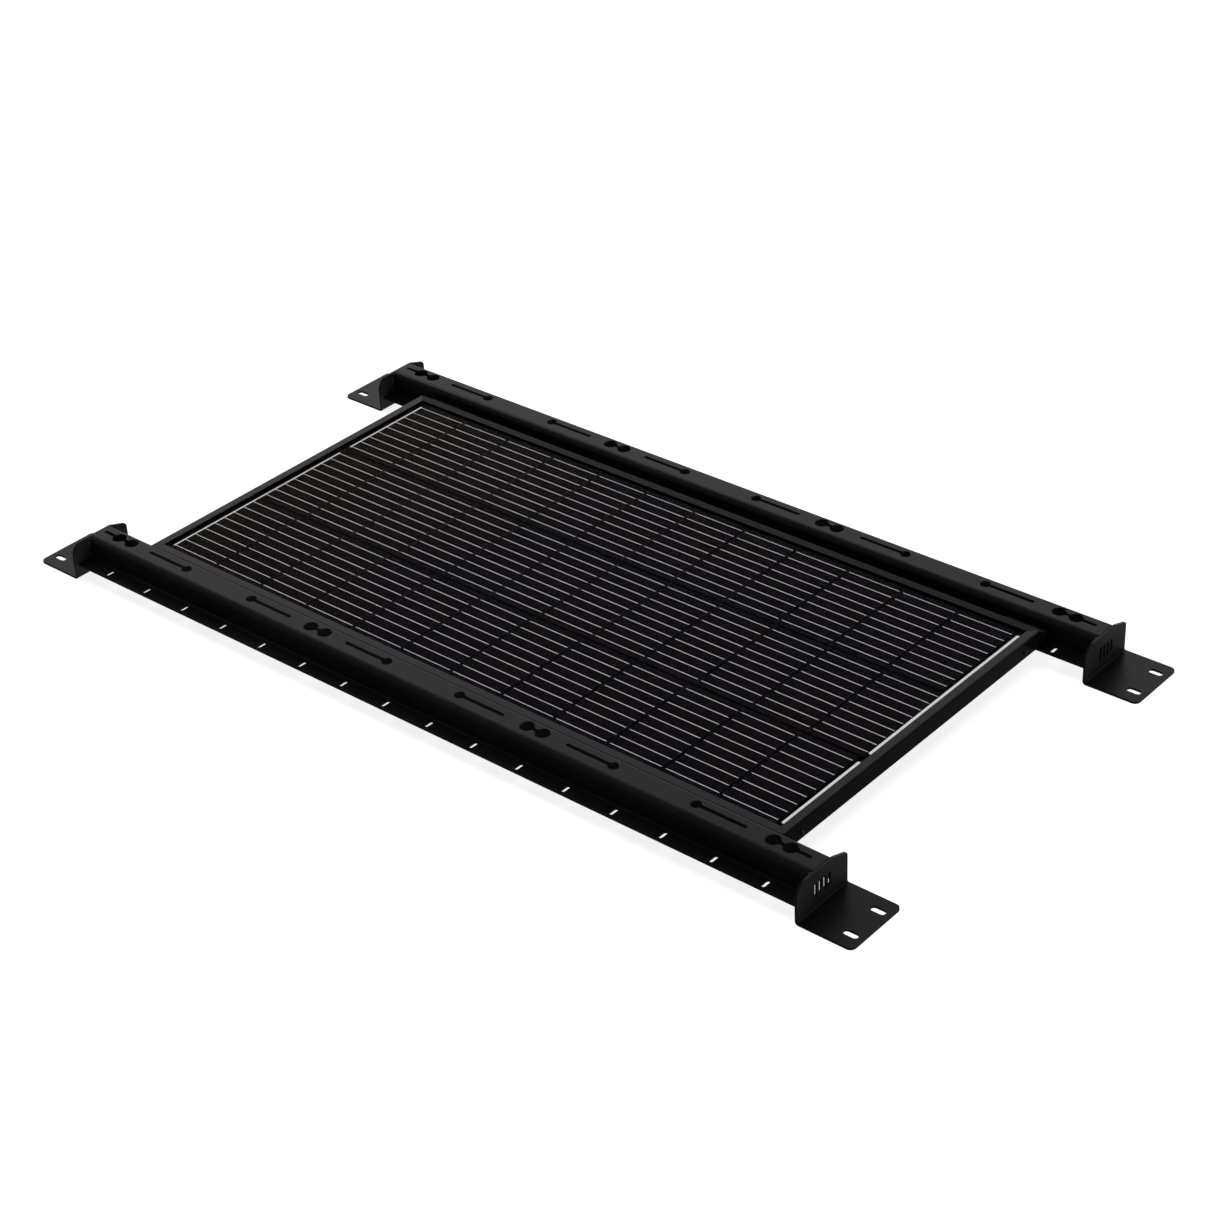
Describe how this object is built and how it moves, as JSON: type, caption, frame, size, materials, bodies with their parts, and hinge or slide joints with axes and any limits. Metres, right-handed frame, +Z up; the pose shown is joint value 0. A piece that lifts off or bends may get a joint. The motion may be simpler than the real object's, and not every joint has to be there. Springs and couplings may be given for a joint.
{
  "type": "solar panel",
  "caption": "Flat framed solar panel held between two slotted black rails that stand on folded end feet, with dark half-cut cells under clear glass.",
  "frame": {"origin": "centre of the footprint, on the surface that the four feet stand on", "axes": "+X along the rails, +Y across them towards the far rail, +Z up"},
  "size_m": [1.3896, 0.694, 0.0544],
  "materials": {
    "black_powder_coat": "fine textured satin powder coat",
    "black_anodised_frame": "black satin anodised",
    "plain_aluminium": "mill finish",
    "dark_steel": "dark zinc plated",
    "black_seal": "matte",
    "clear_glass": "lightly textured low-glare solar glass",
    "clear_encapsulant": "clear cured film",
    "silicon_cell": "near-black dark violet with fine grid lines",
    "tinned_copper": "bright tinned",
    "black_backsheet": "matte black film",
    "black_plastic": "moulded",
    "box_plastic": "moulded, fine grain",
    "terminal_plastic": "moulded",
    "diode_body": "moulded epoxy"
  },
  "bodies": {
    "root": {"rail_near": "black_powder_coat", "rail_far": "black_powder_coat", "bracket_near_left": "black_powder_coat", "bracket_near_right": "black_powder_coat", "bracket_far_left": "black_powder_coat", "bracket_far_right": "black_powder_coat", "frame_side_near": "black_anodised_frame", "frame_side_far": "black_anodised_frame", "frame_end_left": "black_anodised_frame", "frame_end_right": "black_anodised_frame", "corner_key_near_left": "plain_aluminium", "corner_screw_near_left_1": "dark_steel", "corner_screw_near_left_2": "dark_steel", "corner_key_near_right": "plain_aluminium", "corner_screw_near_right_1": "dark_steel", "corner_screw_near_right_2": "dark_steel", "corner_key_far_left": "plain_aluminium", "corner_screw_far_left_1": "dark_steel", "corner_screw_far_left_2": "dark_steel", "corner_key_far_right": "plain_aluminium", "corner_screw_far_right_1": "dark_steel", "corner_screw_far_right_2": "dark_steel", "frame_seal": "black_seal", "glass": "clear_glass", "encapsulant_front": "clear_encapsulant", "encapsulant_rear": "clear_encapsulant", "cell_string_near": "silicon_cell", "cell_string_middle": "silicon_cell", "cell_string_far": "silicon_cell", "bus_ribbon_left_far": "tinned_copper", "bus_ribbon_left_joined": "tinned_copper", "bus_ribbon_right_joined": "tinned_copper", "bus_ribbon_right_near": "tinned_copper", "backsheet": "black_backsheet", "spacer_left": "black_plastic", "bolt_near_left": "dark_steel", "nut_near_left": "dark_steel", "bolt_far_left": "dark_steel", "nut_far_left": "dark_steel", "spacer_right": "black_plastic", "bolt_near_right": "dark_steel", "nut_near_right": "dark_steel", "bolt_far_right": "dark_steel", "nut_far_right": "dark_steel", "junction_box_body": "box_plastic", "junction_box_lid": "box_plastic", "junction_box_seal": "black_seal", "terminal_block": "terminal_plastic", "bypass_diode_1": "diode_body", "bypass_diode_2": "diode_body", "bypass_diode_3": "diode_body", "cable_gland_a": "box_plastic", "gland_nut_a": "box_plastic", "cable_gland_b": "box_plastic", "gland_nut_b": "box_plastic"}
  },
  "joints": []
}
